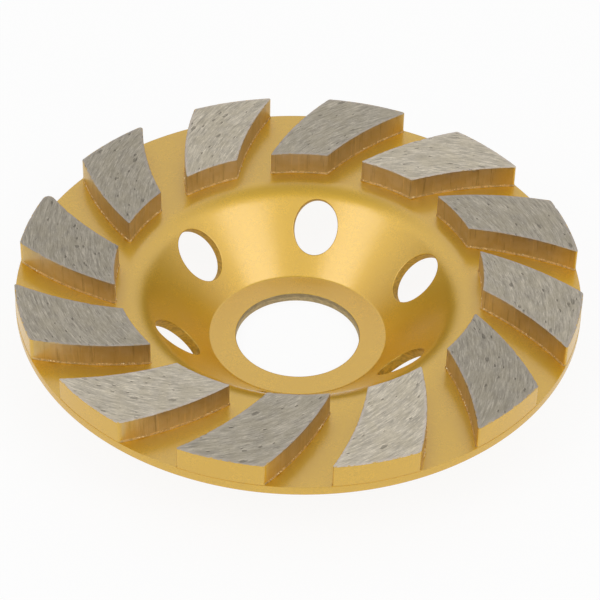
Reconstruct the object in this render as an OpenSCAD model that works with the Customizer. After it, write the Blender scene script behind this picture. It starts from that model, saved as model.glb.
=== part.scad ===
// Diamond cup wheel: a pressed steel cup that carries twelve brazed grinding segments.
// Z runs along the spindle axis and out of the working side. Z = 0 is the back face of the hub.
// Angles are counted anticlockwise, seen from the working side.

/* [Cup] */
// Outer diameter of the rim
wheel_d = 100; // [96:0.5:125]
// Diameter of the spindle bore
bore_d = 22.23; // [16:0.01:24]
// Chamfer on both edges of the bore
bore_chamfer = 0.2; // [0.05:0.05:0.5]
// Diameter of the flat face around the bore
hub_d = 31.3; // [29:0.1:34]
// Inner diameter of the flat rim, where the bend into the wall begins
rim_in_d = 61.2; // [58:0.2:66]
// Height of the rim's working face above the back of the hub
cup_h = 13.2; // [11:0.1:16]
// Thickness of the sheet at the hub and the rim
sheet_t = 1.8; // [1.2:0.1:2.4]
// Thickness of the wall, square to it: pressing has thinned it
wall_t = 1.65; // [1.1:0.05:2.2]
// Bend radius between hub and wall, on the working side
hub_bend_r = 0.5; // [0.3:0.1:3.5]
// Bend radius between wall and rim, on the working side
rim_bend_r = 6; // [3:0.1:7]
// Rounding of the rim's upper outer edge
rim_top_r = 0.25; // [0.1:0.05:0.5]
// Rounding of the rim's lower outer edge
rim_low_r = 0.35; // [0.2:0.05:0.8]

/* [Cooling holes] */
// Number of holes around the wall
hole_count = 6; // [3:1:8]
// Width of a hole, around the cup
hole_w = 8.1; // [5:0.1:10]
// Length of a hole, up the wall: pressing has stretched it
hole_l = 10.4; // [6:0.1:11.5]
// Diameter of the circle through the middles of the holes, on the working side
hole_circle_d = 45.6; // [44:0.2:47]
// Angle of the first hole
hole_angle = 22.8; // [0:0.1:60]

/* [Segments] */
// Bare rim between its inner edge and the segments' inner ends
seg_setback = 1.9; // [0.5:0.1:4]
// Ledge of bare rim outside the outer ends
rim_ledge = 0.4; // [0.4:0.1:3]
// Width of the inner end
seg_in_w = 10.6; // [7:0.1:12.5]
// Width of the outer end
seg_out_w = 15.1; // [10:0.1:18]
// Height of a segment
seg_h = 4.2; // [3:0.1:7]
// Angle by which the outer end trails the inner end
swirl = 15.3; // [5:0.1:20]
// Radius of the curved sides
side_r = 56; // [40:1:120]
// Rounding of the trailing outer corner
corner_r = 0.3; // [0.2:0.1:2]
// Angle of the first segment's outer end
seg_angle = 15.7; // [0:0.1:30]

/* [Braze] */
// Thickness of the braze film under a segment
film_t = 0.2; // [0.1:0.05:0.4]
// Width of the braze bead around a segment's foot
bead_w = 0.35; // [0.15:0.05:0.4]
// Height of the braze bead
bead_h = 0.5; // [0.45:0.05:1]

/* [Hidden] */
$fn = 180;

segment_count = 12;
pitch = 360 / segment_count;
wheel_r = wheel_d / 2;
bore_r = bore_d / 2;
hub_r = hub_d / 2;
rim_in_r = rim_in_d / 2;
// The wall is the straight line that touches both bends, from below the first to above the second
hub_bend = [hub_r, sheet_t + hub_bend_r];
rim_bend = [rim_in_r, cup_h - rim_bend_r];
bend_way = rim_bend - hub_bend;
wall_angle = atan2(bend_way[1], bend_way[0]) + asin((hub_bend_r + rim_bend_r) / norm(bend_way));
wall_foot = hub_bend + polar(hub_bend_r, wall_angle - 90);
// The same two bends on the back, where they touch the back of the wall
back_hub_bend_r = hub_bend_r + sheet_t;
back_rim_bend_r = rim_bend_r - sheet_t;
back_hub_bend = beside_wall(back_hub_bend_r, wall_t - back_hub_bend_r);
back_rim_bend = beside_wall(cup_h - rim_bend_r, wall_t + back_rim_bend_r);
hole_at_r = hole_circle_d / 2;
hole_z = wall_foot[1] + (hole_at_r - wall_foot[0]) * tan(wall_angle);
seg_in_r = rim_in_r + seg_setback;
seg_out_r = wheel_r - rim_ledge;
// Half widths of a segment's ends, as angles
in_half = asin(seg_in_w / 2 / seg_in_r);
out_half = asin(seg_out_w / 2 / seg_out_r);
leading_in = polar(seg_in_r, swirl + in_half);
leading_out = polar(seg_out_r, out_half);
trailing_in = polar(seg_in_r, swirl - in_half);
trailing_out = polar(seg_out_r, -out_half);
leading_centre = arc_centre(leading_in, leading_out, side_r);
trailing_centre = arc_centre(trailing_in, trailing_out, side_r);
corner_centre = meet_circles(seg_out_r - corner_r, trailing_centre, side_r + corner_r);
bend_steps = 8;
hole_steps = 40;
// Reach of a cutting shape past the surface that it cuts
past = 1;

function polar(r, a) = [r * cos(a), r * sin(a)];

// Points along an arc, both ends included
function arc(centre, r, from, to, steps) =
    [for (i = [0:steps]) centre + polar(r, from + (to - from) * i / steps)];

// Centre of the arc of radius r from p to q that bows to the left of that way
function arc_centre(p, q, r) =
    let (way = q - p, half = norm(way) / 2, left = [-way[1], way[0]] / norm(way))
    (p + q) / 2 - left * sqrt(r * r - half * half);

// Point at distance a from the origin and b from c, on the left of the way to c
function meet_circles(a, c, b) =
    let (d = norm(c), along = (a * a - b * b + d * d) / (2 * d), left = [-c[1], c[0]] / d)
    c / d * along + left * sqrt(a * a - along * along);

// Point at a height, behind the working side of the wall by a distance square to it
function beside_wall(height, behind) =
    [wall_foot[0] + (behind + (height - wall_foot[1]) * cos(wall_angle)) / sin(wall_angle), height];

// Half section of the cup: bore, hub, sloped wall and flat rim with rounded edges
module cup_section() {
    polygon(concat(
        [[bore_r + bore_chamfer, 0], [bore_r, bore_chamfer]],
        [[bore_r, sheet_t - bore_chamfer], [bore_r + bore_chamfer, sheet_t]],
        arc(hub_bend, hub_bend_r, -90, wall_angle - 90, bend_steps),
        arc(rim_bend, rim_bend_r, wall_angle + 90, 90, bend_steps),
        arc([wheel_r - rim_top_r, cup_h - rim_top_r], rim_top_r, 90, 0, 4),
        arc([wheel_r - rim_low_r, cup_h - sheet_t + rim_low_r], rim_low_r, 0, -90, 6),
        arc(back_rim_bend, back_rim_bend_r, 90, wall_angle + 90, bend_steps),
        arc(back_hub_bend, back_hub_bend_r, wall_angle - 90, -90, bend_steps)
    ));
}

// Oval hole square to the wall
module cooling_hole() {
    translate([hole_at_r, 0, hole_z])
        rotate([0, -wall_angle, 0])
            linear_extrude(2 * sheet_t + 2 * past, center = true)
                polygon([for (i = [0:hole_steps - 1])
                    let (a = 360 * i / hole_steps)
                    [hole_l / 2 * cos(a), hole_w / 2 * sin(a)]
                ]);
}

module body() {
    color([0.81, 0.66, 0.34])
        difference() {
            rotate_extrude()
                cup_section();
            for (i = [0:hole_count - 1])
                rotate(hole_angle + i * 360 / hole_count)
                    cooling_hole();
        }
}

// What rounding the trailing outer corner takes away
module corner_waste(grow) {
    to_rim = corner_centre / norm(corner_centre);
    to_side = (trailing_centre - corner_centre) / (side_r + corner_r);
    reach = corner_r + grow + past;
    difference() {
        polygon([
            corner_centre,
            corner_centre + reach * to_rim,
            corner_centre + reach * (to_rim + to_side) / (1 + to_rim * to_side),
            corner_centre + reach * to_side
        ]);
        translate(corner_centre)
            circle(corner_r + grow);
    }
}

// Plan of a segment, with its outer end at angle 0, grown on all sides by grow
module segment_plan(grow) {
    difference() {
        intersection() {
            circle(seg_out_r + grow);
            translate(leading_centre)
                circle(side_r + grow);
            polygon([[0, 0], for (a = [-45, 0, 45, 90]) polar(2 * wheel_r, a)]);
        }
        circle(seg_in_r - grow);
        translate(trailing_centre)
            circle(side_r - grow);
        corner_waste(grow);
    }
}

module place(index) {
    rotate(seg_angle + index * pitch)
        translate([0, 0, cup_h])
            children();
}

// Sintered block of metal bond and diamond grit
module segment(index) {
    color([0.66, 0.63, 0.58])
        place(index)
            translate([0, 0, film_t])
                linear_extrude(seg_h)
                    segment_plan(0);
}

// Film of braze under a segment, with the bead that runs round its foot
module braze(index) {
    color([0.86, 0.7, 0.42])
        place(index)
            difference() {
                linear_extrude(bead_h)
                    segment_plan(bead_w);
                translate([0, 0, film_t])
                    linear_extrude(bead_h)
                        segment_plan(0);
            }
}

body();
segment(0);  // segment_01
segment(1);  // segment_02
segment(2);  // segment_03
segment(3);  // segment_04
segment(4);  // segment_05
segment(5);  // segment_06
segment(6);  // segment_07
segment(7);  // segment_08
segment(8);  // segment_09
segment(9);  // segment_10
segment(10);  // segment_11
segment(11);  // segment_12
braze(0);  // braze_01
braze(1);  // braze_02
braze(2);  // braze_03
braze(3);  // braze_04
braze(4);  // braze_05
braze(5);  // braze_06
braze(6);  // braze_07
braze(7);  // braze_08
braze(8);  // braze_09
braze(9);  // braze_10
braze(10);  // braze_11
braze(11);  // braze_12
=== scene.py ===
"""Looks of a diamond cup wheel: a gold painted pressed cup with twelve brazed grinding segments."""
import math

import bmesh
import bpy
import numpy as np
from mathutils import Matrix, Vector


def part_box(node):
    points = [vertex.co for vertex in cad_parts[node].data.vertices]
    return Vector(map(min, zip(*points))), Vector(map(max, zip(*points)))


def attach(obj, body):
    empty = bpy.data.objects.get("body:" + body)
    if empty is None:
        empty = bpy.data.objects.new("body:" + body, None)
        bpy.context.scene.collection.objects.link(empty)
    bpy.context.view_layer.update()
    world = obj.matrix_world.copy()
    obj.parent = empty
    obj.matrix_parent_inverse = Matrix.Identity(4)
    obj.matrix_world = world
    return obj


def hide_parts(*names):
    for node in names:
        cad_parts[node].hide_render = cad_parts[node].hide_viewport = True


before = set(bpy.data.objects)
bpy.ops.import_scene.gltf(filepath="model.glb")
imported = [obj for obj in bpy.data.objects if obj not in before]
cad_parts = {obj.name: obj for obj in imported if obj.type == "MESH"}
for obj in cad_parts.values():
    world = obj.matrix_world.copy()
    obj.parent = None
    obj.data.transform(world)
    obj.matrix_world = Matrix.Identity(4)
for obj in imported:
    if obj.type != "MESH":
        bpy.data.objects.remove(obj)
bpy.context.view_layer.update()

bl_info = {
    "name": "Diamond cup wheel",
    "version": (1, 0, 0),
    "blender": (4, 5, 0),
    "location": "3D View > Sidebar > Cup wheel",
    "description": "Builds the cup, the ground segments and the braze of a diamond cup wheel",
    "category": "Object",
}

MM = 0.001
BODY = "root"
CUP_LOW, CUP_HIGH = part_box("body")
FIRST_LOW, FIRST_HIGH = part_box("segment_01")
SEGMENT_COUNT = sum(name.startswith("segment_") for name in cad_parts)
PITCH = 2 * math.pi / SEGMENT_COUNT
WHITE = (1.0, 1.0, 1.0, 1.0)
# Painted shade at the bottom of the pits
PIT_SHADE = (0.13, 0.115, 0.09, 1.0)
# Stretch that draws a pattern out along the axis
UPRIGHT = (1.0, 1.0, 0.05)
# Width of the camera's sensor in millimetres
SENSOR = 36
# Steps round the whole cup
TURN_STEPS = 240
# Steps up the side of the patch of cells round a hole
PATCH_STEPS = 12
# Rings of cells in that patch, from the hole's edge at 0 to the patch's edge at 1
SPREAD = (0, 0.012, 0.035, 0.075, 0.13, 0.2, 0.29, 0.4, 0.52, 0.65, 0.78, 0.9, 1.0)
# Sheet between a hole and the patch's edge, and the patch's further reach into the rim's bend
HOLE_MARGIN = 1.3 * MM
BEND_MARGIN = 0.4 * MM
# Distance from a rounding to the ring of cells that keeps its shading there
SEAM = 0.12 * MM
# Times that the way to a hole's edge is halved
HALVINGS = 48
# Seed of the noise on the first piece of a ring, and the step to the next
SEGMENT_SEEDS = (1.7, 2.3)
BRAZE_SEEDS = (4.1, 1.9)
# How far the braze stays inside the segments' outer radius
BRAZE_INSET = 0.01 * MM
# Smallest distance between two points of one mesh
MERGE = 0.002 * MM
# Edges that turn further than this are sharp, such as the one round a segment's foot
SHARP_TURN = math.radians(60)
# For each segment: turn of its scratches from the tangent in degrees, brightness of its ground face,
# and what wear has added to the rounding of its trailing corner in millimetres
WEAR = [
    (7, 0.94, 0), (35, 1.34, 0), (46, 0.98, 0), (40, 1.23, 0), (26, 0.88, 0.2), (15, 0.83, 0.8),
    (7, 0.9, 0), (27, 1.26, 0), (34, 0.97, 0), (22, 1.32, 0), (32, 0.84, 0), (16, 1.0, 0),
]


def length(name, description, size):
    """A size in millimetres, kept in metres"""
    return bpy.props.FloatProperty(
        name=name, description=description, default=size * MM, min=0, precision=5,
        unit="LENGTH", subtype="DISTANCE")


def turn(name, description, degrees):
    """An angle in degrees, kept in radians"""
    return bpy.props.FloatProperty(
        name=name, description=description, default=math.radians(degrees), subtype="ANGLE")


def colour(name, description, value):
    """A colour in linear light"""
    return bpy.props.FloatVectorProperty(
        name=name, description=description, default=value, min=0, max=1, size=3, subtype="COLOR")


def share(name, description, value, top=1.0):
    """A number from 0 to 1, or to a top of its own"""
    return bpy.props.FloatProperty(name=name, description=description, default=value, min=0, max=top)


class CupWheelCup(bpy.types.PropertyGroup):
    """Sizes and finish of the pressed cup"""
    wheel_d: length("Rim diameter", "Outer diameter of the rim", (CUP_HIGH.x - CUP_LOW.x) / MM)
    bore_d: length("Bore diameter", "Diameter of the spindle bore", 22.23)
    bore_edge: length("Bore edge", "Rounding of both edges of the bore", 0.2)
    hub_d: length("Hub diameter", "Diameter of the flat face round the bore", 31.3)
    rim_in_d: length("Rim inner diameter", "Inner diameter of the flat rim", 61.2)
    cup_h: length("Cup height", "Height of the rim's working face", CUP_HIGH.z / MM)
    sheet_t: length("Sheet thickness", "Thickness of the sheet at the hub and the rim", 1.8)
    wall_t: length("Wall thickness", "Thickness of the wall, square to it", 1.65)
    hub_bend_r: length("Hub bend", "Bend radius between hub and wall", 0.5)
    rim_bend_r: length("Rim bend", "Bend radius between wall and rim", 6)
    rim_top_r: length("Rim top edge", "Rounding of the rim's upper outer edge", 0.03)
    rim_low_r: length("Rim low edge", "Rounding of the rim's lower outer edge", 0.35)
    hole_count: bpy.props.IntProperty(
        name="Holes", description="Number of cooling holes", default=6, min=3, max=8)
    hole_w: length("Hole width", "Width of a hole round the cup", 8.1)
    hole_l: length("Hole length", "Length of a hole up the wall", 10.4)
    hole_edge: length("Hole edge", "Rounding of a hole's edges under the paint", 0.16)
    hole_circle_d: length("Hole circle", "Circle through the middles of the holes", 45.6)
    hole_angle: turn("First hole", "Angle of the first hole", 22.8)
    paint: colour("Paint", "Gold paint of the cup and the segments' outer ends", (0.75, 0.455, 0.008))
    # Darker than the paint, partly from thin paint on the punched wall and partly as painted shade for
    # the shaded floor under the cup that the bore wall reflects
    cut: colour("Bore wall", "Thin paint on the punched wall of the bore", (0.42, 0.32, 0.16))
    hole_cut: colour("Hole walls", "Paint on the punched walls of the holes", (0.72, 0.43, 0.05))
    edge_tint: colour("Edge tint", "Tint of the paint at a shallow angle", (1.0, 0.85, 0.5))
    flake_rough: share("Flake roughness", "Roughness of the metal flake in the paint", 0.5)
    coat_rough: share("Coat roughness", "Roughness of the clear coat over the flake", 0.22)
    coat_index: share("Coat index", "Refractive index of the clear coat", 1.92, 3.0)


class CupWheelSegments(bpy.types.PropertyGroup):
    """Sizes and finish of the grinding segments"""
    in_r: length("Inner radius", "Distance from the axis to the inner ends", 32.5)
    out_r: length("Outer radius", "Distance from the axis to the outer ends", 49.95)
    in_w: length("Inner width", "Width of the inner end", 10.6)
    out_w: length("Outer width", "Width of the outer end", 15.1)
    low_z: length("Foot height", "Height of a segment's foot", FIRST_LOW.z / MM)
    high_z: length("Face height", "Height of the ground face", FIRST_HIGH.z / MM)
    swirl: turn("Swirl", "Angle by which the outer end trails the inner end", 15.3)
    side_r: length("Side radius", "Radius of the curved sides", 56)
    corner_r: length("Trailing corner", "Rounding of the trailing outer corner", 0.3)
    leading_r: length("Leading corner", "Rounding of the leading outer corner", 0.6)
    upright_r: length("Inner corners", "Rounding of the corners of the inner end", 0.22)
    face_edge: length("Face edge", "Rounding of the edge round the ground face", 0.13)
    angle: turn("First segment", "Angle of the first segment's outer end", 15.7)
    pit_depth: length("Pit depth", "Depth of the pits in the ground face", 0.09)
    chip_depth: length("Chip depth", "Depth of the chips along the face's edge", 0.22)
    streak_depth: length("Streak depth", "Depth of the upright streaks on the sides", 0.035)
    bond: colour("Bond", "Sintered bond, as ground", (0.425, 0.382, 0.308))
    side: colour("Side", "Thin paint over the bond on the sides", (0.525, 0.385, 0.195))


class CupWheelBraze(bpy.types.PropertyGroup):
    """Sizes and finish of the braze round the segments' feet"""
    film_low: length("Film height", "Height of the rim, on which the film lies", CUP_HIGH.z / MM)
    reach: length("Reach", "Width of the braze round a foot", 0.26)
    bead_small: length("Smallest bead", "Radius of the smallest bead", 0.05)
    bead_large: length("Largest bead", "Radius of the largest bead", 0.18)
    bead_gap: length("Bead spacing", "Distance between two beads", 0.32)
    film: colour("Film", "Braze film under thin paint", (0.86, 0.62, 0.28))
    # Colour of the beads, paler than the gold paint so that it also serves as a painted glint on each
    # bead
    metal: colour("Braze", "Bright beads of braze", (0.96, 0.78, 0.48))


class CupWheelStage(bpy.types.PropertyGroup):
    """Camera, lamps and floor"""
    eye: bpy.props.FloatVectorProperty(
        name="Camera place", description="Place of the camera", size=3, unit="LENGTH",
        subtype="TRANSLATION", default=(0.00028042, -0.34026, 0.30770))
    rise: turn("Camera rise", "Angle of the line of sight above level", 41.1854)
    roll: turn("Camera roll", "Turn of the camera round its line of sight", 1.4547)
    lens: bpy.props.FloatProperty(
        name="Focal length", description="Focal length on a 36 mm wide sensor",
        default=152.38, unit="CAMERA")
    floor_r: length("Floor radius", "Radius of the round floor", 2500)
    sky: share("Sky light", "Plain light from all round", 0.74, 2.0)
    zenith: share("Overhead", "Brightness straight above, as metal shows it", 0.42)
    horizon: share("Horizon", "Brightness near the horizon, as metal shows it", 0.13)
    lamp_power: bpy.props.FloatProperty(
        name="Lamp power", description="Power of each soft lamp", default=0.8, min=0, unit="POWER")
    lamp_d: length("Lamp size", "Diameter of each soft lamp", 460)
    lamp_side: length("Lamp side", "Distance of each lamp to its side of the wheel", 440)
    lamp_front: length("Lamp front", "Distance of the lamps in front of the wheel", 360)
    lamp_height: length("Lamp height", "Height of the lamps", 560)
    lamp_target: length("Lamp target", "Height of the point that the lamps face", 10)
    floor_seen: share("Floor", "Plain white in the floor, as the camera sees it", 0.9)
    floor_shine: share("Floor in metal", "Plain white in the floor, as metal shows it", 0.5)


GROUPS = {
    "cup_wheel_cup": CupWheelCup,
    "cup_wheel_segments": CupWheelSegments,
    "cup_wheel_braze": CupWheelBraze,
    "cup_wheel_stage": CupWheelStage,
}


# Node trees

class Tree:
    """Adds nodes to a node tree and joins them"""

    def __init__(self, tree):
        self.tree = tree

    def add(self, kind, inputs=None, **settings):
        """A new node of a kind, with its settings made and its inputs fed"""
        node = self.tree.nodes.new(kind)
        for name, value in settings.items():
            setattr(node, name, value)
        self.feed(node, inputs or {})
        return node

    def feed(self, node, inputs):
        """Joins inputs to other nodes' outputs, or sets their own values"""
        for name, value in inputs.items():
            if isinstance(value, bpy.types.NodeSocket):
                self.tree.links.new(value, node.inputs[name])
            else:
                node.inputs[name].default_value = value

    def math(self, operation, *values):
        """Result of an operation on numbers"""
        return self.add("ShaderNodeMath", dict(enumerate(values)), operation=operation).outputs[0]

    def plus(self, a, b):
        """Two numbers added"""
        return self.math("ADD", a, b)

    def minus(self, a, b):
        """One number less another"""
        return self.math("SUBTRACT", a, b)

    def times(self, a, b):
        """Two numbers multiplied"""
        return self.math("MULTIPLY", a, b)

    def mix(self, part, a, b):
        """A number between a and b"""
        return self.span(part, 0, 1, a, b, "LINEAR")

    def vector(self, operation, *values):
        """Result of an operation on vectors"""
        inputs = dict(enumerate(values))
        if operation == "SCALE":
            inputs = {0: values[0], "Scale": values[1]}
        node = self.add("ShaderNodeVectorMath", inputs, operation=operation)
        return node.outputs["Value" if operation == "LENGTH" else "Vector"]

    def span(self, value, low, high, to_low=0.0, to_high=1.0, kind="SMOOTHSTEP"):
        """The value's way from low to high, as a way from to_low to to_high"""
        return self.add("ShaderNodeMapRange", {
            "Value": value, "From Min": low, "From Max": high, "To Min": to_low, "To Max": to_high,
        }, interpolation_type=kind).outputs["Result"]

    def noise(self, place, scale, detail=2.0, rough=0.5, seed=None):
        """Soft noise round 0.5, with scale waves to the metre"""
        inputs = {"Vector": place, "Scale": scale, "Detail": detail, "Roughness": rough}
        if seed is not None:
            inputs["W"] = seed
        return self.add("ShaderNodeTexNoise", inputs,
                        noise_dimensions="3D" if seed is None else "4D").outputs[0]

    def cell_tone(self, place, scale):
        """A random number for each cell, with scale cells to the metre"""
        cells = self.add("ShaderNodeTexVoronoi", {"Vector": place, "Scale": scale})
        return self.red(cells.outputs["Color"])

    def blend(self, share_of_b, a, b):
        """A colour between a and b"""
        return self.add("ShaderNodeMix", {0: share_of_b, 6: a, 7: b}, data_type="RGBA").outputs[2]

    def red(self, value):
        """First part of a colour"""
        kind = "ShaderNodeSeparateColor" if self.tree.type == "SHADER" else "FunctionNodeSeparateColor"
        return self.add(kind, {0: value}).outputs[0]

    def bump(self, height, distance, strength):
        """Normal of the surface with a height laid over it"""
        return self.add("ShaderNodeBump", {
            "Height": height, "Distance": distance, "Strength": strength}).outputs[0]

    def attribute(self, name, output="Fac"):
        """What the mesh carries under a name, in a material"""
        return self.add("ShaderNodeAttribute", attribute_name=name).outputs[output]

    def carried(self, name, kind):
        """What the mesh carries under a name, in a geometry tree"""
        return self.add("GeometryNodeInputNamedAttribute", {"Name": name}, data_type=kind).outputs[0]

    def draw(self, seed):
        """A random number from 0 to 1 for each point"""
        return self.add("FunctionNodeRandomValue", {"Seed": seed}, data_type="FLOAT").outputs[1]

    def draw_vector(self, seed, low, high):
        """A random vector between two for each point"""
        return self.add("FunctionNodeRandomValue", {0: low, 1: high, "Seed": seed},
                        data_type="FLOAT_VECTOR").outputs[0]


def opaque(value):
    """A colour with full alpha"""
    return (*value, 1.0)


def tint(value, *factors):
    """A colour with each of its parts scaled"""
    return opaque(min(1.0, part * factor) for part, factor in zip(value, factors))


def shade(value, factor):
    """A colour made darker or lighter"""
    return tint(value, factor, factor, factor)


# Materials

def empty_material(name):
    """A material without nodes, and its tree"""
    material = bpy.data.materials.new(name)
    material.use_nodes = True
    material.node_tree.nodes.clear()
    return material, Tree(material.node_tree)


def new_material(name):
    """A material with a principled surface, as material, tree, surface node and object coordinates"""
    material, tree = empty_material(name)
    surface = tree.add("ShaderNodeBsdfPrincipled")
    tree.add("ShaderNodeOutputMaterial", {"Surface": surface.outputs[0]})
    return material, tree, surface, tree.add("ShaderNodeTexCoord").outputs["Object"]


def paint_tone(tree, place, paint):
    """Colour of the metallic paint: fine flake over slow cloudiness"""
    flake = tree.cell_tone(place, scale=7000)
    cloud = tree.noise(place, scale=260, detail=3)
    tone = tree.blend(flake, shade(paint, 0.86), shade(paint, 1.1))
    return tree.blend(tree.span(cloud, 0.35, 0.65), tone, shade(paint, 0.97))


def level_radius(tree, place):
    """Distance from the axis"""
    return tree.vector("LENGTH", tree.vector("MULTIPLY", place, (1.0, 1.0, 0.0)))


def clear_coat(tree, surface, cup):
    """The clear coat over the flake, as glossy everywhere"""
    tree.feed(surface, {"Coat Roughness": cup.coat_rough, "Coat IOR": cup.coat_index})


def punched_tone(tree, place, cup):
    """Colour of the punched walls: torn streaks, in one tone in the bore and another in the holes"""
    torn = tree.noise(tree.vector("MULTIPLY", place, (1.0, 1.0, 3.0)), scale=1100, detail=3, rough=0.6)
    height = tree.add("ShaderNodeSeparateXYZ", {0: place}).outputs[2]
    upper = tree.span(height, 0.5 * cup.sheet_t, 0.7 * cup.sheet_t, 1.0, 0.7)
    bore_r = cup.bore_d / 2
    past_bore = tree.span(level_radius(tree, place), bore_r + 1 * MM, bore_r + 2 * MM)
    # The bore's tone is partly its thin paint and partly painted shade of the floor under the cup
    tone = tree.blend(past_bore, opaque(cup.cut), opaque(cup.hole_cut))
    return tree.vector("SCALE", tone, tree.times(upper, tree.span(torn, 0.4, 0.6, 0.85, 1.2)))


def cup_paint(cup):
    """Satin gold paint with a fine metallic grain, thin on the punched walls"""
    material, tree, surface, place = new_material("gold_cup_paint")
    cut = tree.attribute("cut")
    grain = tree.noise(place, scale=3600)
    rough = tree.span(grain, 0.3, 0.7, cup.flake_rough - 0.03, cup.flake_rough + 0.03)
    fine_peel = tree.times(tree.noise(place, scale=4600), 0.7)
    peel = tree.plus(tree.noise(place, scale=1400, detail=3), fine_peel)
    bumped = tree.bump(peel, 0.02 * MM, 0.7)

    def pick(on_sheet, on_cut):
        """A value of its own for the faces of the sheet and for the punched walls"""
        return tree.mix(cut, on_sheet, on_cut)

    clear_coat(tree, surface, cup)
    tree.feed(surface, {
        "Base Color": tree.blend(cut, paint_tone(tree, place, cup.paint), punched_tone(tree, place, cup)),
        "Metallic": pick(1.0, 0.7),
        "Roughness": pick(rough, 0.45),
        "Coat Weight": pick(1.0, 0.2),
        "Specular Tint": opaque(cup.edge_tint),
        "Normal": bumped,
        "Coat Normal": bumped,
    })
    return material


def pit_field(tree, grain):
    """Pits in a ground face, from 0 to 1: a few large ones and many small ones, all a little drawn out"""
    warp = tree.add("ShaderNodeTexNoise", {"Vector": grain, "Scale": 1900.0, "Detail": 2.0})
    ragged = tree.vector("SCALE", warp.outputs["Color"], 0.45 * MM)
    place = tree.vector("MULTIPLY", tree.vector("ADD", grain, ragged), (0.42, 1.0, 1.0))
    fields = []
    # Cells to the metre, the least draw that makes a pit, and the widest pit as a share of its cell
    for scale, least, widest in ((400.0, 0.6, 0.15), (950.0, 0.68, 0.18)):
        cell = tree.add("ShaderNodeTexVoronoi", {"Vector": place, "Scale": scale},
                        voronoi_dimensions="2D")
        size = tree.span(tree.red(cell.outputs["Color"]), least, 1.0, 0.0, widest)
        fields.append(tree.span(tree.minus(size, cell.outputs["Distance"]), 0.0, 0.08))
    return tree.math("MAXIMUM", *fields)


def scratch_field(tree, grain, along, across, detail, rough=0.5):
    """Noise that is drawn out along the scratches, with waves to the metre along and across them"""
    return tree.noise(tree.vector("MULTIPLY", grain, (along, across, 1.0)), 1, detail, rough)


def ground_face(tree, grain, ground, bond):
    """Colour and height of the ground face, and its coarse scratches"""
    broad = scratch_field(tree, grain, 210.0, 1050.0, 3, 0.55)
    coarse = scratch_field(tree, grain, 330.0, 2700.0, 3, 0.6)
    fine = scratch_field(tree, grain, 700.0, 6500.0, 2)
    patch = tree.noise(grain, scale=300, detail=3, rough=0.6)
    grit = tree.noise(grain, scale=3000, detail=2, rough=0.6)
    pit = pit_field(tree, grain)
    # A painted highlight on one side of each pit: the pit field shifted aside, less the pit itself
    beside = pit_field(tree, tree.vector("ADD", grain, (0.0, 0.22 * MM, 0.0)))
    pit_highlight = tree.minus(beside, pit)
    tone = tree.blend(tree.span(broad, 0.34, 0.66), shade(bond, 0.86), shade(bond, 1.15))
    layers = (
        (tree.span(coarse, 0.47, 0.33, 0.0, 0.7), shade(bond, 0.6)),
        (tree.span(coarse, 0.55, 0.69, 0.0, 0.7), shade(bond, 1.6)),
        (tree.span(fine, 0.46, 0.28, 0.0, 0.6), shade(bond, 0.58)),
        (tree.span(fine, 0.54, 0.72, 0.0, 0.65), shade(bond, 1.75)),
        (tree.span(patch, 0.42, 0.6, 0.0, 0.4), tint(bond, 0.95, 0.93, 0.84)),
        (tree.span(grit, 0.52, 0.72, 0.0, 0.35), shade(bond, 0.6)),
        # Painted highlight beside each pit
        (tree.span(pit_highlight, 0.0, 1.0, 0.0, 0.4), shade(bond, 1.6)),
        # Painted shade in the pits
        (tree.times(pit, 0.56), PIT_SHADE),
        # The paler margin along the face's edge
        (tree.span(ground, 0.62, 0.86, 0.5, 0.0), tint(bond, 1.12, 1.1, 1.24)),
    )
    for shown, layer in layers:
        tone = tree.blend(shown, tone, layer)
    height = tree.plus(tree.times(coarse, 0.6), tree.times(fine, 0.3))
    height = tree.plus(height, tree.times(grit, 0.2))
    return tone, tree.minus(height, pit), coarse


def painted_side(tree, place, outer, segments, paint):
    """Colour of the sides, with thin paint over upright streaks and full paint at the outer end, lighter
    towards the outer end partly from over-spray and partly as painted light, and the streaks"""
    streak = tree.noise(tree.vector("MULTIPLY", place, UPRIGHT), scale=1900, detail=4, rough=0.7)
    stain = tree.noise(place, scale=380, detail=3, rough=0.55)
    thin = segments.side
    tone = tree.blend(tree.span(stain, 0.36, 0.64), shade(thin, 0.95), tint(thin, 1.02, 1.06, 1.25))
    tone = tree.blend(tree.span(streak, 0.45, 0.32, 0.0, 0.6), tone, shade(thin, 0.5))
    tone = tree.blend(tree.span(streak, 0.57, 0.7, 0.0, 0.5), tone, shade(thin, 1.4))
    # Lighter towards the outer end: partly over-spray of full paint, partly painted light where the
    # neighbours shade the side less
    drift = tree.times(tree.noise(place, scale=420), 2 * MM)
    outer_paint_and_light = tree.span(tree.plus(level_radius(tree, place), drift),
                     segments.out_r - 4.5 * MM, segments.out_r + 0.8 * MM, 0.0, 0.5)
    return tree.blend(tree.math("MAXIMUM", outer, outer_paint_and_light), tone, paint_tone(tree, place, paint)), streak


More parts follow.
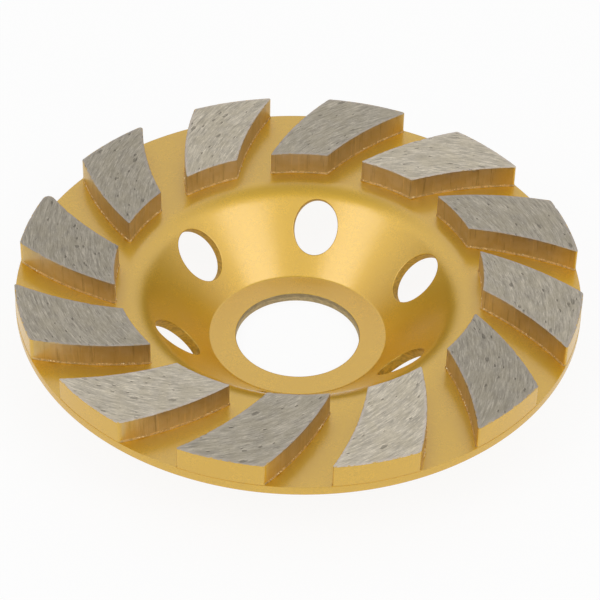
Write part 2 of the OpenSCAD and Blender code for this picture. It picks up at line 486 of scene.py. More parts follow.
def segment_material(segments, cup):
    """Ground face with scratches and pits, and gold painted streaky sides"""
    material, tree, surface, place = new_material("ground_segment")
    ground, grain = tree.attribute("ground"), tree.attribute("grain", "Vector")
    face, face_height, coarse = ground_face(tree, grain, ground, segments.bond)
    outer = tree.span(level_radius(tree, place), segments.out_r - 1.1 * MM, segments.out_r - 0.2 * MM)
    side, streak = painted_side(tree, place, outer, segments, cup.paint)
    frayed = tree.minus(tree.noise(place, scale=1300, detail=3, rough=0.65), 0.5)
    frayed = tree.plus(ground, tree.times(frayed, 0.4))
    bare = tree.span(frayed, 0.46, 0.54)
    face_bump = tree.bump(face_height, 0.16 * MM, 0.9)
    side_height = tree.times(streak, tree.minus(1.0, outer))
    side_bump = tree.bump(side_height, 0.16 * MM, 0.8)
    bumped = tree.add("ShaderNodeMix", {0: bare, 4: side_bump, 5: face_bump}, data_type="VECTOR")

    def pick(on_side, on_outer, on_face):
        """A value of its own for the sides, the outer end and the ground face"""
        return tree.mix(bare, tree.mix(outer, on_side, on_outer), on_face)

    clear_coat(tree, surface, cup)
    tree.feed(surface, {
        "Base Color": tree.blend(bare, side, tree.vector("SCALE", face, tree.attribute("tone"))),
        "Metallic": pick(0.85, 1.0, 0.3),
        "Roughness": pick(0.46, cup.flake_rough, tree.span(coarse, 0.3, 0.7, 0.64, 0.46)),
        "Coat Weight": pick(0.4, 1.0, 0.0),
        "Specular Tint": tree.blend(bare, opaque(cup.edge_tint), WHITE),
        "Normal": bumped.outputs[1],
    })
    return material


def braze_material(braze, segments, cup):
    """Tan film and beads in a pale colour that partly stands for their glints, under full paint at the
    outer end
    """
    material, tree, surface, place = new_material("braze_beads")
    bead = tree.attribute("bead")
    thin = tree.noise(place, scale=1500, detail=3, rough=0.6)
    thick = tree.span(thin, 0.42, 0.58)
    film = tree.blend(thick, shade(braze.film, 0.72), opaque(braze.film))
    # The beads' colour, whose paleness is partly a painted glint
    bead_and_glint = tree.blend(thick, opaque(braze.film), opaque(braze.metal))
    seam = tree.blend(bead, film, bead_and_glint)
    outer = tree.span(level_radius(tree, place), segments.out_r - 0.3 * MM, segments.out_r - 0.1 * MM)
    rough = tree.mix(bead, 0.45, tree.span(thin, 0.3, 0.7, 0.42, 0.24))
    clear_coat(tree, surface, cup)
    tree.feed(surface, {
        "Base Color": tree.blend(outer, seam, paint_tone(tree, place, cup.paint)),
        "Metallic": tree.mix(outer, 0.8, 1.0),
        "Roughness": tree.mix(outer, rough, cup.flake_rough),
        "Coat Weight": outer,
        "Specular Tint": opaque(cup.edge_tint),
        "Normal": tree.bump(tree.noise(place, scale=5200), 0.03 * MM, 0.7),
    })
    return material


def floor_material(stage):
    """White to the eye, darker in reflections, with the object's shadow kept"""
    material, tree = empty_material("studio_floor")
    matt = tree.add("ShaderNodeBsdfPrincipled", {"Base Color": (0.9, 0.9, 0.9, 1.0), "Roughness": 0.9})
    white = tree.add("ShaderNodeEmission", {"Color": WHITE, "Strength": 1.0})
    path = tree.add("ShaderNodeLightPath").outputs
    straight = tree.math("MAXIMUM", path["Is Camera Ray"], path["Is Transmission Ray"])
    plain = tree.math("MAXIMUM", tree.times(straight, stage.floor_seen),
                      tree.times(path["Is Glossy Ray"], stage.floor_shine))
    mixed = tree.add("ShaderNodeMixShader", {0: plain, 1: matt.outputs[0], 2: white.outputs[0]})
    tree.add("ShaderNodeOutputMaterial", {"Surface": mixed.outputs[0]})
    return material


# Meshes

def tidy_mesh(name, points, faces, loose=()):
    """Mesh with shared points merged and its faces turned outwards"""
    mesh = bpy.data.meshes.new(name)
    mesh.from_pydata([tuple(map(float, p)) for p in points], list(loose), faces)
    work = bmesh.new()
    work.from_mesh(mesh)
    bmesh.ops.remove_doubles(work, verts=work.verts, dist=MERGE)
    bmesh.ops.dissolve_degenerate(work, edges=work.edges, dist=MERGE / 4)
    bmesh.ops.recalc_face_normals(work, faces=work.faces)
    work.to_mesh(mesh)
    work.free()
    mesh.shade_smooth()
    mesh.set_sharp_from_angle(angle=SHARP_TURN)
    return mesh


def mesh_points(mesh):
    """Points of a mesh, one to a row"""
    return np.array([vertex.co for vertex in mesh.vertices])


def store(mesh, name, kind, values):
    """Has a mesh carry a value at each of its points"""
    field = "vector" if kind == "FLOAT_VECTOR" else "value"
    attribute = mesh.attributes.new(name, kind, "POINT")
    attribute.data.foreach_set(field, np.ravel(values).astype(np.float32))


def new_object(name, mesh):
    """An object in the scene, with its place left at the origin"""
    piece = bpy.data.objects.new(name, mesh)
    bpy.context.scene.collection.objects.link(piece)
    return piece


class Shell:
    """Collects rows of points and the four-sided faces between them"""

    def __init__(self):
        self.points = []
        self.faces = []

    def rows(self, rows, closed=False):
        """Faces between each row and the next, with each row closed on itself if asked"""
        rows = np.asarray(rows, dtype=float)
        count, across, _ = rows.shape
        start = len(self.points)
        self.points.extend(rows.reshape(-1, 3))
        for i in range(count - 1):
            for j in range(across if closed else across - 1):
                k = (j + 1) % across
                low, high = start + i * across, start + (i + 1) * across
                self.faces.append((low + j, low + k, high + k, high + j))


def bends(cup, back):
    """Wall angle, and centre and radius of the hub bend and of the rim bend, on one side of the sheet"""
    hub = Vector((cup.hub_d / 2, cup.sheet_t + cup.hub_bend_r))
    rim = Vector((cup.rim_in_d / 2, cup.cup_h - cup.rim_bend_r))
    way = rim - hub
    angle = math.atan2(way.y, way.x) + math.asin((cup.hub_bend_r + cup.rim_bend_r) / way.length)
    if not back:
        return angle, hub, cup.hub_bend_r, rim, cup.rim_bend_r
    foot = hub + cup.hub_bend_r * Vector((math.sin(angle), -math.cos(angle)))
    hub_r, rim_r = cup.hub_bend_r + cup.sheet_t, cup.rim_bend_r - cup.sheet_t

    def beside_wall(height, behind):
        """Point behind the working side of the wall, by a distance square to it"""
        out = (behind + (height - foot.y) * math.cos(angle)) / math.sin(angle)
        return Vector((foot.x + out, height))

    return (angle, beside_wall(hub_r, cup.wall_t - hub_r), hub_r,
            beside_wall(rim.y, cup.wall_t + rim_r), rim_r)


def wall_foot(cup, back):
    """Where the wall leaves the hub bend, as radius and height"""
    angle, hub, hub_r, _, _ = bends(cup, back)
    return hub + hub_r * Vector((math.sin(angle), -math.cos(angle)))


def sheet_height(cup, radius, back):
    """Height of one side of the sheet at a distance from the axis"""
    angle, hub, hub_r, rim, rim_r = bends(cup, back)
    foot = wall_foot(cup, back)
    top_r = rim.x - rim_r * math.sin(angle)
    hub_bend = hub.y - np.sqrt(np.maximum(hub_r ** 2 - (radius - hub.x) ** 2, 0))
    rim_bend = rim.y + np.sqrt(np.maximum(rim_r ** 2 - (radius - rim.x) ** 2, 0))
    slope = foot.y + (radius - foot.x) * math.tan(angle)
    return np.select(
        [radius <= hub.x, radius <= foot.x, radius <= top_r, radius <= rim.x],
        [np.full_like(radius, hub.y - hub_r), hub_bend, slope, rim_bend], rim.y + rim_r)


def wall_angle(cup):
    """Slope of the wall"""
    return bends(cup, False)[0]


def hole_middle(cup):
    """Middle of a hole on the working side, as radius and height"""
    foot = wall_foot(cup, False)
    radius = cup.hole_circle_d / 2
    return radius, foot.y + (radius - foot.x) * math.tan(wall_angle(cup))


def hole_loop(cup, turns, grow, back, lift):
    """Loop of a hole at angle 0: where its grown wall meets a side of the sheet, lifted along the hole"""
    angle = wall_angle(cup)
    mid_r, mid_z = hole_middle(cup)
    along = (cup.hole_l / 2 + grow) * np.cos(turns)
    across = (cup.hole_w / 2 + grow) * np.sin(turns)
    low = np.full_like(turns, -cup.cup_h)
    high = np.full_like(turns, cup.cup_h)
    for _ in range(HALVINGS):
        way = (low + high) / 2
        x = mid_r + along * math.cos(angle) - way * math.sin(angle)
        z = mid_z + along * math.sin(angle) + way * math.cos(angle)
        above = z > sheet_height(cup, np.hypot(x, across), back)
        high = np.where(above, way, high)
        low = np.where(above, low, way)
    return np.stack([x - lift * math.sin(angle), across, z + lift * math.cos(angle)], axis=1)


def turned(points, angle):
    """Points turned round the axis"""
    c, s = math.cos(angle), math.sin(angle)
    return points @ np.array([[c, s, 0], [-s, c, 0], [0, 0, 1]])


def round_corner(centre, radius, start, end, steps):
    """Points on an arc in the section, as radius and height"""
    turns = np.radians(np.linspace(start, end, steps + 1))
    return [(centre[0] + radius * math.cos(a), centre[1] + radius * math.sin(a)) for a in turns]


def hole_bands(cup):
    """Inner and outer radius of the band that holds the holes, on the working side and on the back"""
    angle = wall_angle(cup)
    mid = cup.hole_circle_d / 2
    reach = (cup.hole_l / 2 + HOLE_MARGIN) * math.cos(angle)
    through = cup.wall_t * math.sin(angle)
    return [(mid + shift - reach, mid + shift + reach + BEND_MARGIN) for shift in (0, through)]


def on_sheet(cup, radii, back):
    """Points on one side of the sheet, as radius and height"""
    radii = np.asarray(radii, dtype=float)
    return list(zip(radii, sheet_height(cup, radii, back)))


def inner_section(cup, back):
    """One side of the sheet from the bore's edge to the band of holes"""
    angle, hub, hub_r, _, _ = bends(cup, back)
    start = cup.bore_d / 2 + cup.bore_edge
    bend = hub.x + hub_r * np.sin(np.linspace(0, angle, 9))
    flat = [start + SEAM, *np.linspace(start + 0.6 * MM, hub.x - 0.6 * MM, 5), hub.x - SEAM]
    wall = np.linspace(bend[-1], hole_bands(cup)[back][0], 5)[1:]
    return on_sheet(cup, [*flat, *bend, bend[-1] + SEAM, *wall], back)


def outer_section(cup, back, edge):
    """One side of the sheet from the band of holes to the rounding of the rim"""
    _, _, _, rim, rim_r = bends(cup, back)
    rest = math.asin((rim.x - hole_bands(cup)[back][1]) / rim_r)
    bend = rim.x - rim_r * np.sin(np.linspace(rest, 0, 7))
    end = cup.wheel_d / 2 - edge
    flat = [*np.linspace(rim.x + 0.5 * MM, end - 0.5 * MM, 16), end - SEAM]
    return on_sheet(cup, [*bend, *flat], back)


def add_rings(shell, cup):
    """Rings round the axis, inside and outside the band of holes"""
    bore, edge = cup.bore_d / 2, cup.bore_edge
    rim, top_r, low_r = cup.wheel_d / 2, cup.rim_top_r, cup.rim_low_r
    bore_side = [
        *round_corner((bore + edge, edge), edge, 270, 180, 4),
        *round_corner((bore + edge, cup.sheet_t - edge), edge, 180, 90, 4),
    ]
    rim_side = [
        *round_corner((rim - top_r, cup.cup_h - top_r), top_r, 90, 0, 5),
        *round_corner((rim - low_r, cup.cup_h - cup.sheet_t + low_r), low_r, 0, -90, 6),
    ]
    inward = [*reversed(inner_section(cup, True)), *bore_side, *inner_section(cup, False)]
    outward = [*outer_section(cup, False, top_r), *rim_side, *reversed(outer_section(cup, True, low_r))]
    sector = 2 * math.pi / cup.hole_count
    turns = cup.hole_angle - sector / 2 + np.linspace(0, 2 * math.pi, TURN_STEPS, endpoint=False)
    for section in (inward, outward):
        shell.rows([[(r * math.cos(a), r * math.sin(a), z) for a in turns] for r, z in section],
                   closed=True)


def add_hole_patches(shell, cup):
    """A patch of cells round each oval hole on both sides of the sheet, and the hole's wall"""
    sector = 2 * math.pi / cup.hole_count
    bands = hole_bands(cup)
    # Border of a patch, from 0 to 1 outwards and from -1 to 1 round the axis
    across = np.linspace(-1, 1, TURN_STEPS // cup.hole_count + 1)
    up = np.linspace(0, 1, PATCH_STEPS + 1)
    border = np.array(
        [(0, a) for a in across[:-1]] + [(u, 1) for u in up[:-1]]
        + [(1, a) for a in across[:0:-1]] + [(u, -1) for u in up[:0:-1]])
    # The direction round the hole that goes with each point of the border
    low, high = bands[False]
    mid = cup.hole_circle_d / 2
    side = border[:, 1] * sector / 2 * mid
    rise = (low + border[:, 0] * (high - low) - mid) / math.cos(wall_angle(cup))
    turns = np.arctan2(side / cup.hole_w, rise / cup.hole_l)
    lip_bends = np.radians(np.linspace(0, 90, 5))
    for hole in range(cup.hole_count):
        place = cup.hole_angle + hole * sector
        lips = []
        for back, sign in ((False, -1), (True, 1)):
            inner = hole_loop(cup, turns, cup.hole_edge, back, 0)
            inner_r, inner_a = np.hypot(inner[:, 0], inner[:, 1]), np.arctan2(inner[:, 1], inner[:, 0])
            low, high = bands[back]
            outer_r = low + border[:, 0] * (high - low)
            outer_a = border[:, 1] * sector / 2
            rows = []
            for part in SPREAD:
                r = inner_r + (outer_r - inner_r) * part
                a = inner_a + (outer_a - inner_a) * part
                points = np.stack([r * np.cos(a), r * np.sin(a), sheet_height(cup, r, back)], axis=1)
                rows.append(turned(points, place))
            shell.rows(rows, closed=True)
            lips.append([turned(hole_loop(
                cup, turns, cup.hole_edge * (1 - math.sin(bend)), back,
                sign * cup.hole_edge * (1 - math.cos(bend))), place) for bend in lip_bends])
        front, behind = lips
        between = [front[-1] + (behind[-1] - front[-1]) * part for part in (0.1, 0.5, 0.9)]
        shell.rows([*front, *between, *reversed(behind)], closed=True)


def cut_share(cup, points):
    """1 on the punched walls of the bore and the holes, 0 on the faces of the sheet"""
    radius = np.hypot(points[:, 0], points[:, 1])
    # Each share falls from 1 to 0 just past its wall: over 0.08 mm at the bore, over 2 % of a hole's size
    bore = np.clip((cup.bore_d / 2 + 0.12 * MM - radius) / (0.08 * MM), 0, 1)
    sector = 2 * math.pi / cup.hole_count
    turns = np.arctan2(points[:, 1], points[:, 0]) - cup.hole_angle + sector / 2
    turns = turns % sector - sector / 2
    angle = wall_angle(cup)
    mid_r, mid_z = hole_middle(cup)
    along = (radius * np.cos(turns) - mid_r) * math.cos(angle) + (points[:, 2] - mid_z) * math.sin(angle)
    oval = np.hypot(along / (cup.hole_l / 2), radius * np.sin(turns) / (cup.hole_w / 2))
    return np.maximum(bore, np.clip((1.025 - oval) / 0.02, 0, 1))


def cup_mesh(cup):
    """Cup as rings round the axis and patches round its holes"""
    shell = Shell()
    add_rings(shell, cup)
    add_hole_patches(shell, cup)
    mesh = tidy_mesh("cup", shell.points, shell.faces)
    store(mesh, "cut", "FLOAT", cut_share(cup, mesh_points(mesh)))
    return mesh


def crossing(a, a_r, b, b_r, near):
    """The crossing of two circles that is nearer to a point"""
    way = b - a
    along = (a_r ** 2 - b_r ** 2 + way.length ** 2) / (2 * way.length)
    off = math.sqrt(a_r ** 2 - along ** 2)
    unit = way.normalized()
    left = Vector((-unit.y, unit.x))
    return min((a + unit * along + left * off, a + unit * along - left * off),
               key=lambda point: (point - near).length)


def polar(radius, angle):
    """Point at a distance and an angle"""
    return Vector((radius * math.cos(angle), radius * math.sin(angle)))


def bow_centre(start, end, radius):
    """Centre of the arc from start to end that bows to the left of that way"""
    way = end - start
    left = Vector((-way.y, way.x)).normalized()
    return (start + end) / 2 - left * math.sqrt(radius ** 2 - way.length_squared / 4)


def segment_outline(segments, worn, end_steps, side_steps, corner_steps):
    """Four groups of outline points with their outward normals: inner end, leading, outer end, trailing.
    The outer end is at angle 0, and worn adds to the rounding of the trailing outer corner."""
    half_in = math.asin(segments.in_w / 2 / segments.in_r)
    half_out = math.asin(segments.out_w / 2 / segments.out_r)
    corners = [
        polar(segments.in_r, segments.swirl - half_in), polar(segments.in_r, segments.swirl + half_in),
        polar(segments.out_r, half_out), polar(segments.out_r, -half_out),
    ]
    axis = Vector((0, 0))
    # Centre and radius of each side, and 1 where the segment lies inside that circle or -1 outside
    sides = [
        (axis, segments.in_r, -1),
        (bow_centre(corners[1], corners[2], segments.side_r), segments.side_r, 1),
        (axis, segments.out_r, 1),
        (bow_centre(corners[0], corners[3], segments.side_r), segments.side_r, -1),
    ]
    roundings = [segments.upright_r, segments.upright_r, segments.leading_r, segments.corner_r + worn]
    centres = []
    for k, (corner, r) in enumerate(zip(corners, roundings)):
        (a, a_r, a_in), (b, b_r, b_in) = sides[k - 1], sides[k]
        centres.append(crossing(a, a_r - a_in * r, b, b_r - b_in * r, corner))

    def sweep(centre, radius, side, start, end, steps):
        """Points and outward normals on an arc between two directions, the short way"""
        first, last = math.atan2(start.y, start.x), math.atan2(end.y, end.x)
        gap = (last - first + math.pi) % (2 * math.pi) - math.pi
        turns = first + gap * np.linspace(0, 1, steps + 1)
        ways = np.stack([np.cos(turns), np.sin(turns)], axis=1)
        return np.array(centre) + ways * radius, ways * side

    parts = []
    for k in range(4):
        a, a_in = sides[k - 1][0], sides[k - 1][2]
        b, b_r, b_in = sides[k]
        here, after = centres[k], centres[(k + 1) % 4]
        corner = sweep(here, roundings[k], 1, (here - a) * a_in, (here - b) * b_in, 2 * corner_steps)
        steps = end_steps if k % 2 == 0 else side_steps
        parts.append((corner, sweep(b, b_r, b_in, here - b, after - b, steps)))
    groups = []
    for k in range(4):
        corner, straight = parts[k]
        after = parts[(k + 1) % 4][0]
        groups.append([
            np.concatenate([corner[i][corner_steps:], straight[i][1:], after[i][1:corner_steps + 1]])
            for i in (0, 1)])
    return groups


def coons(groups):
    """Grid of points that fills four boundary lines, from the trailing to the leading side of each row"""
    inner, leading = groups[0], groups[1]
    outer, trailing = groups[2][::-1], groups[3][::-1]
    u = np.linspace(0, 1, len(inner))[None, :, None]
    v = np.linspace(0, 1, len(leading))[:, None, None]
    return ((1 - v) * inner[None] + v * outer[None]
            + (1 - u) * trailing[:, None] + u * leading[:, None]
            - (1 - u) * (1 - v) * inner[0] - u * (1 - v) * inner[-1]
            - (1 - u) * v * outer[0] - u * v * outer[-1])


def whole_outline(groups):
    """Points and normals of a whole outline, with each corner once"""
    return (np.concatenate([points[:-1] for points, _ in groups]),
            np.concatenate([ways[:-1] for _, ways in groups]))


def segment_mesh(segments, index):
    """Block with a fine grid on its face, at angle 0, standing on height 0"""
    scratch, brightness, worn = WEAR[index]
    groups = segment_outline(segments, worn * MM, end_steps=56, side_steps=74, corner_steps=2)
    outline, normals = whole_outline(groups)
    tall = segments.high_z - segments.low_z
    edge = segments.face_edge
    # Inset and height of each loop: up the side, then round the edge of the face
    levels = [(0.0, part * (tall - edge)) for part in (0, 0.06, 0.16, 0.3, 0.45, 0.6, 0.75, 0.87, 0.96)]
    levels += [(edge * (1 - math.cos(bend)), tall - edge * (1 - math.sin(bend)))
               for bend in np.radians(np.linspace(0, 90, 5))]

    def loop(inset, height):
        flat = outline - normals * inset
        return np.column_stack([flat, np.full(len(flat), height)])

    shell = Shell()
    shell.rows([loop(*level) for level in levels], closed=True)
    top = coons([points - ways * edge for points, ways in groups])
    shell.rows(np.concatenate([top, np.full((*top.shape[:2], 1), tall)], axis=2))
    shell.faces.append(tuple(range(len(outline))))
    mesh = tidy_mesh("segment", shell.points, shell.faces)

    points = mesh_points(mesh)
    flat, height = points[:, :2], points[:, 2]
    # How far a point is from the edge of the ground face: 0.5 at the edge, 1 well inside, 0 down the side
    fade = 1.4 * MM
    border = loop(edge, tall)[:, :2]
    inside = np.linalg.norm(flat[:, None] - border[None], axis=2).min(axis=1)
    away = np.where(height < tall - edge * 0.3, height - tall, inside)
    store(mesh, "ground", "FLOAT", np.clip(0.5 + away / fade, 0, 1))
    store(mesh, "tone", "FLOAT", np.full(len(points), brightness))
    # Along and across the scratches, in metres, with each segment's own stretch of them
    c, s = math.cos(math.radians(scratch)), math.sin(math.radians(scratch))
    mid_r = (segments.in_r + segments.out_r) / 2
    round_axis = mid_r * np.arctan2(flat[:, 1], flat[:, 0])
    outwards = np.hypot(flat[:, 0], flat[:, 1]) - mid_r
    own_stretch = 0.1 * (index + 1)
    store(mesh, "grain", "FLOAT_VECTOR", np.column_stack([
        round_axis * c - outwards * s + own_stretch, round_axis * s + outwards * c, np.zeros(len(flat))]))
    return mesh


def braze_mesh(segments, braze, index):
    """Film under a segment with a sloped edge, kept inside the segments' outer radius, and a loose line
    round the foot that the beads follow"""
    outline, normals = whole_outline(segment_outline(
        segments, WEAR[index][2] * MM, end_steps=40, side_steps=56, corner_steps=2))
    film = segments.low_z - braze.film_low
    reach = braze.reach
    widest = segments.out_r - BRAZE_INSET
    # Growth and height of each loop: along the rim, up the slope and in under the segment
    section = (
        (0, 0), (reach * 0.5, 0), (reach * 0.55, film * 0.4), (reach * 0.3, film * 0.8),
        (reach * 0.12, film * 1.3), (0.02 * MM, film * 2.0), (-0.1 * MM, film * 2.0), (-0.1 * MM, film))

    def loop(grow, height):
        flat = outline + normals * grow
        flat *= np.minimum(1, widest / np.hypot(*flat.T))[:, None]
        return np.column_stack([flat, np.full(len(flat), height)])

    shell = Shell()
    shell.rows([loop(*point) for point in section], closed=True)
    count, start = len(outline), len(shell.points)
    shell.faces.append(tuple(range(count)))
    shell.faces.append(tuple(range(start - count, start)))
    shell.points.extend(loop(reach * 0.22, film * 1.3))
    loose = [(start + i, start + (i + 1) % count) for i in range(count)]
    mesh = tidy_mesh("braze", shell.points, shell.faces, loose)
    faced = {key for polygon in mesh.polygons for key in polygon.edge_keys}
    foot = mesh.attributes.new("foot", "BOOLEAN", "EDGE")
    for edge in mesh.edges:
        foot.data[edge.index].value = edge.key not in faced
    return mesh


# Geometry node trees

def new_geometry_tree(name, inputs):
    """Tree with named inputs, as the tree and its input and output nodes"""
    group = bpy.data.node_groups.new(name, "GeometryNodeTree")
    group.interface.new_socket("Geometry", in_out="OUTPUT", socket_type="NodeSocketGeometry")
    group.interface.new_socket("Geometry", in_out="INPUT", socket_type="NodeSocketGeometry")
    for label, kind in inputs.items():
        group.interface.new_socket(label, in_out="INPUT", socket_type=kind)
    tree = Tree(group)
    source = tree.add("NodeGroupInput").outputs
    return group, tree, source


def finish_tree(tree, geometry, source):
    """Turns the piece to its place, makes it real and gives it its material"""
    spin = tree.add("FunctionNodeAxisAngleToRotation", {
        "Axis": (0.0, 0.0, 1.0), "Angle": source["Angle"]})
    lift = tree.add("ShaderNodeCombineXYZ", {2: source["Height"]})
    placed = tree.add("GeometryNodeTransform", {
        "Geometry": geometry, "Translation": lift.outputs[0], "Rotation": spin.outputs[0]})
    real = tree.add("GeometryNodeRealizeInstances", {"Geometry": placed.outputs[0]})
    done = tree.add("GeometryNodeSetMaterial", {
        "Geometry": real.outputs[0], "Material": source["Material"]})
    tree.add("NodeGroupOutput", {"Geometry": done.outputs[0]})


PLACING = {
    "Angle": "NodeSocketFloat", "Height": "NodeSocketFloat", "Seed": "NodeSocketFloat",
    "Material": "NodeSocketMaterial",
}


def segment_tree():
    """Pits the ground face, chips its edge and streaks the sides, then turns the block to its place"""
    group, tree, source = new_geometry_tree("ground_segment", {
        **PLACING, "Pit depth": "NodeSocketFloat", "Chip depth": "NodeSocketFloat",
        "Streak depth": "NodeSocketFloat", "Outer radius": "NodeSocketFloat"})
    place = tree.add("GeometryNodeInputPosition").outputs[0]
    normal = tree.add("GeometryNodeInputNormal").outputs[0]
    ground = tree.carried("ground", "FLOAT")
    grain = tree.carried("grain", "FLOAT_VECTOR")
    seed = source["Seed"]

    def centred(value):
        """A value round 0.5, as a way up or down from 0"""
        return tree.minus(value, 0.5)

    on_face = tree.span(ground, 0.5, 0.56)
    pits = tree.times(pit_field(tree, grain), on_face)
    wave = tree.times(centred(tree.noise(place, scale=900, seed=seed)), on_face)
    sink = tree.plus(tree.times(pits, source["Pit depth"]),
                     tree.times(wave, 0.06 * MM))

    from_edge = tree.math("ABSOLUTE", centred(ground))
    at_edge = tree.minus(1.0, tree.span(from_edge, 0.04, 0.3))
    bite = tree.span(tree.noise(place, scale=620, detail=4, rough=0.65, seed=seed), 0.55, 0.74)
    chips = tree.times(tree.times(bite, at_edge), source["Chip depth"])

    to_outer = tree.minus(source["Outer radius"], tree.vector("LENGTH", place))
    on_side = tree.times(tree.span(ground, 0.5, 0.42), tree.span(to_outer, 0.2 * MM, 0.6 * MM))
    tall = tree.vector("MULTIPLY", place, UPRIGHT)
    streak = centred(tree.noise(tall, scale=1500, detail=3, rough=0.6, seed=seed))
    lines = tree.times(tree.times(streak, on_side), source["Streak depth"])

    outwards = tree.minus(lines, tree.plus(sink, chips))
    moved = tree.add("GeometryNodeSetPosition", {
        "Geometry": source["Geometry"], "Offset": tree.vector("SCALE", normal, outwards)})
    finish_tree(tree, moved.outputs[0], source)
    return group


def braze_tree():
    """Strings beads of random size along the foot line of the film"""
    group, tree, source = new_geometry_tree("braze_seam", {
        **PLACING, "Smallest bead": "NodeSocketFloat", "Largest bead": "NodeSocketFloat",
        "Spacing": "NodeSocketFloat", "Outer radius": "NodeSocketFloat"})
    foot = tree.carried("foot", "BOOLEAN")
    line = tree.add("GeometryNodeMeshToCurve", {"Mesh": source["Geometry"], "Selection": foot})
    dots = tree.add("GeometryNodeCurveToPoints", {
        "Curve": line.outputs[0], "Length": source["Spacing"]}, mode="LENGTH")
    drift = tree.draw_vector(5, (-0.06 * MM, -0.06 * MM, -0.08 * MM), (0.06 * MM, 0.06 * MM, 0.1 * MM))
    strewn = tree.add("GeometryNodeSetPosition", {"Geometry": dots.outputs[0], "Offset": drift})

    # Beads come in clumps, and none sits near the outer end
    place = tree.add("GeometryNodeInputPosition").outputs[0]
    to_outer = tree.minus(source["Outer radius"], tree.vector("LENGTH", place))
    clump = tree.span(tree.noise(place, scale=520, detail=3, rough=0.6, seed=source["Seed"]), 0.4, 0.62)
    chance = tree.times(tree.span(to_outer, 0.4 * MM, 3 * MM), tree.plus(clump, 0.35))
    keep = tree.math("LESS_THAN", tree.draw(3), chance)

    bead = tree.add("GeometryNodeMeshUVSphere", {"Segments": 8, "Rings": 5, "Radius": 1.0})
    growth = tree.minus(source["Largest bead"], source["Smallest bead"])
    growth = tree.times(growth, tree.math("POWER", tree.draw(8), 2.5))
    size = tree.plus(source["Smallest bead"], growth)
    squash = tree.draw_vector(11, (0.7, 0.7, 0.6), (1.5, 1.5, 1.0))
    facing = tree.add("FunctionNodeEulerToRotation", {
        0: tree.draw_vector(13, (0.0, 0.0, 0.0), (0.3, 0.3, 6.28))})
    strung = tree.add("GeometryNodeInstanceOnPoints", {
        "Points": strewn.outputs[0], "Selection": keep, "Instance": bead.outputs[0],
        "Rotation": facing.outputs[0], "Scale": tree.vector("SCALE", squash, size)})
    made_real = tree.add("GeometryNodeRealizeInstances", {"Geometry": strung.outputs[0]})
    marked = tree.add("GeometryNodeStoreNamedAttribute", {
        "Geometry": made_real.outputs[0], "Name": "bead", "Value": 1.0}, data_type="FLOAT")
    beads = tree.add("GeometryNodeSetShadeSmooth", {"Geometry": marked.outputs[0]})
    film = tree.add("GeometryNodeDeleteGeometry", {
        "Geometry": source["Geometry"], "Selection": foot}, domain="EDGE", mode="EDGE_FACE")
    both = tree.add("GeometryNodeJoinGeometry")
    for part in (film, beads):
        tree.tree.links.new(part.outputs[0], both.inputs[0])
    finish_tree(tree, both.outputs[0], source)
    return group


def grown(name, mesh, group, values):
    """The plain mesh that a tree makes of a mesh, as a new object"""
    start = new_object(name + "_start", mesh)
    modifier = start.modifiers.new("make", "NODES")
    modifier.node_group = group
    for item in group.interface.items_tree:
        if item.in_out == "INPUT" and item.name in values:
            modifier[item.identifier] = values[item.name]
    graph = bpy.context.evaluated_depsgraph_get()
    made = bpy.data.meshes.new_from_object(start.evaluated_get(graph), depsgraph=graph)
    made.name = name
    bpy.data.objects.remove(start)
    bpy.data.meshes.remove(mesh)
    return new_object(name, made)


def claim(piece, node):
    """Ties a piece to its body and hides the solid that it stands for"""
    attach(piece, BODY)
    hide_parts(node)


def make_ring(kind, seeds, angle, group, mesh_of, values):
    """A piece of a kind for each segment, which a tree makes of the mesh for its place in the ring"""
    first, step = seeds
    for index in range(SEGMENT_COUNT):
        node = f"{kind}_{index + 1:02d}"
        piece = grown(node + "_look", mesh_of(index), group, {
            "Angle": angle + index * PITCH, "Seed": first + step * index, **values})
        claim(piece, node)


class CUPWHEEL_OT_cup(bpy.types.Operator):
    """Make the pressed cup with its bore and oval cooling holes"""
    bl_idname = "cup_wheel.make_cup"
    bl_label = "Make cup"

    def execute(self, context):
        cup = context.scene.cup_wheel_cup
        piece = new_object("cup", cup_mesh(cup))
        piece.data.materials.append(cup_paint(cup))
        claim(piece, "body")
        return {"FINISHED"}


class CUPWHEEL_OT_segments(bpy.types.Operator):
    """Make the ring of ground segments"""
    bl_idname = "cup_wheel.make_segments"
    bl_label = "Make segments"

    def execute(self, context):
        segments = context.scene.cup_wheel_segments
        material = segment_material(segments, context.scene.cup_wheel_cup)
        make_ring(
            "segment", SEGMENT_SEEDS, segments.angle, segment_tree(),
            lambda index: segment_mesh(segments, index),
            {"Height": segments.low_z, "Material": material, "Pit depth": segments.pit_depth,
             "Chip depth": segments.chip_depth, "Streak depth": segments.streak_depth,
             "Outer radius": segments.out_r})
        return {"FINISHED"}


class CUPWHEEL_OT_braze(bpy.types.Operator):
    """Make the braze film and beads under the segments"""
    bl_idname = "cup_wheel.make_braze"
    bl_label = "Make braze"

    def execute(self, context):
        segments, braze = context.scene.cup_wheel_segments, context.scene.cup_wheel_braze
        material = braze_material(braze, segments, context.scene.cup_wheel_cup)
        make_ring(
            "braze", BRAZE_SEEDS, segments.angle, braze_tree(),
            lambda index: braze_mesh(segments, braze, index),
            {"Height": braze.film_low, "Material": material, "Smallest bead": braze.bead_small,
             "Largest bead": braze.bead_large, "Spacing": braze.bead_gap,
             "Outer radius": segments.out_r})
        return {"FINISHED"}


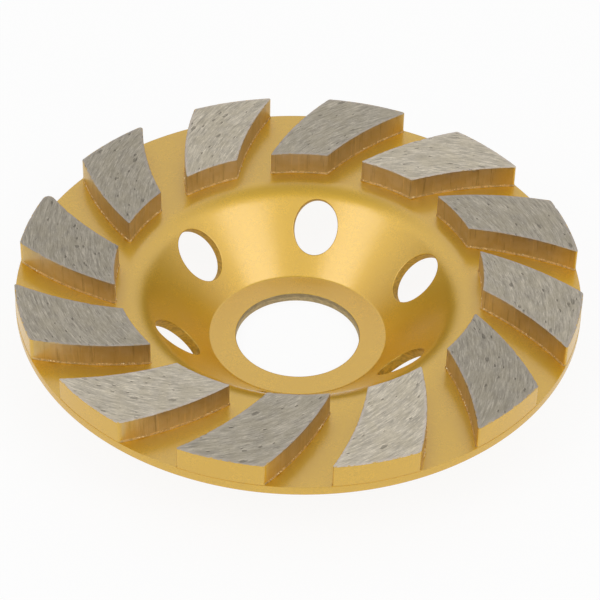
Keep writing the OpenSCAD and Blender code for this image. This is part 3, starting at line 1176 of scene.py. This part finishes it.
def make_camera(stage):
    """The camera at the photo's place and angle"""
    lens = bpy.data.cameras.new("camera")
    lens.sensor_width = SENSOR
    lens.lens = stage.lens
    lens.clip_start = 10 * MM
    lens.clip_end = 20000 * MM
    camera = new_object("camera", lens)
    se, ce = math.sin(stage.rise), math.cos(stage.rise)
    sr, cr = math.sin(stage.roll), math.cos(stage.roll)
    axes = Matrix(((cr, -sr, 0), (se * sr, cr * se, -ce), (ce * sr, cr * ce, se)))
    camera.matrix_world = Matrix.Translation(Vector(stage.eye)) @ axes.to_4x4()
    return camera


def make_floor(stage):
    """A round floor under the wheel"""
    work = bmesh.new()
    bmesh.ops.create_circle(work, cap_ends=True, segments=96, radius=stage.floor_r)
    disc = bpy.data.meshes.new("floor")
    work.to_mesh(disc)
    work.free()
    disc.materials.append(floor_material(stage))
    return new_object("floor", disc)


def make_sky(stage):
    """A world that is white to the camera, lights evenly, and looks like a light tent in metal"""
    sky = bpy.data.worlds.new("sky")
    sky.use_nodes = True
    sky.node_tree.nodes.clear()
    tree = Tree(sky.node_tree)
    path = tree.add("ShaderNodeLightPath").outputs
    seen = tree.math("MAXIMUM", path["Is Camera Ray"], path["Is Glossy Ray"])
    seen = tree.math("MAXIMUM", seen, path["Is Transmission Ray"])
    way = tree.add("ShaderNodeTexCoord").outputs["Generated"]
    # 0 at the horizon and 1 straight above
    rise = tree.add("ShaderNodeSeparateXYZ", {0: way}).outputs[2]
    overhead = tree.span(rise, 0.8, 0.98, 1.0, stage.zenith)
    tent = tree.times(overhead, tree.span(rise, 0.25, 0.6, stage.horizon, 1.0))
    shown = tree.math("MAXIMUM", tent, path["Is Camera Ray"])
    strength = tree.mix(seen, stage.sky, shown)
    light = tree.add("ShaderNodeBackground", {"Color": WHITE, "Strength": strength})
    tree.add("ShaderNodeOutputWorld", {"Surface": light.outputs[0]})
    return sky


def make_lamp(stage, name, side):
    """A soft round lamp on one side of the wheel, -1 for the left and 1 for the right"""
    lamp = bpy.data.lights.new(name, "AREA")
    lamp.shape = "DISK"
    lamp.size = stage.lamp_d
    lamp.energy = stage.lamp_power
    place = Vector((side * stage.lamp_side, -stage.lamp_front, stage.lamp_height))
    target = Vector((0, 0, stage.lamp_target))
    holder = new_object(name, lamp)
    holder.location = place
    holder.rotation_euler = (target - place).to_track_quat("-Z", "Y").to_euler()


class CUPWHEEL_OT_stage(bpy.types.Operator):
    """Make the camera, the floor, the sky and the soft lamps"""
    bl_idname = "cup_wheel.make_stage"
    bl_label = "Make stage"

    def execute(self, context):
        scene = context.scene
        stage = scene.cup_wheel_stage
        scene.view_settings.view_transform = "Standard"
        scene.camera = make_camera(stage)
        scene.world = make_sky(stage)
        make_floor(stage)
        make_lamp(stage, "left_lamp", -1)
        make_lamp(stage, "right_lamp", 1)
        return {"FINISHED"}


class CUPWHEEL_PT_panel(bpy.types.Panel):
    """Sizes, colours and makers of the cup wheel"""
    bl_idname = "CUPWHEEL_PT_panel"
    bl_label = "Cup wheel"
    bl_space_type = "VIEW_3D"
    bl_region_type = "UI"
    bl_category = "Cup wheel"

    def draw(self, context):
        for (group_name, group), operator in zip(GROUPS.items(), OPERATORS):
            box = self.layout.box()
            for name in group.__annotations__:
                box.prop(getattr(context.scene, group_name), name)
            box.operator(operator.bl_idname)


OPERATORS = (CUPWHEEL_OT_cup, CUPWHEEL_OT_segments, CUPWHEEL_OT_braze, CUPWHEEL_OT_stage)


def register():
    for cls in (*GROUPS.values(), *OPERATORS, CUPWHEEL_PT_panel):
        bpy.utils.register_class(cls)
    for name, cls in GROUPS.items():
        setattr(bpy.types.Scene, name, bpy.props.PointerProperty(type=cls))


def unregister():
    for name in GROUPS:
        delattr(bpy.types.Scene, name)
    for cls in reversed((*GROUPS.values(), *OPERATORS, CUPWHEEL_PT_panel)):
        bpy.utils.unregister_class(cls)


def main():
    register()
    bpy.ops.cup_wheel.make_cup()
    bpy.ops.cup_wheel.make_segments()
    bpy.ops.cup_wheel.make_braze()
    bpy.ops.cup_wheel.make_stage()


if __name__ == "__main__":
    main()
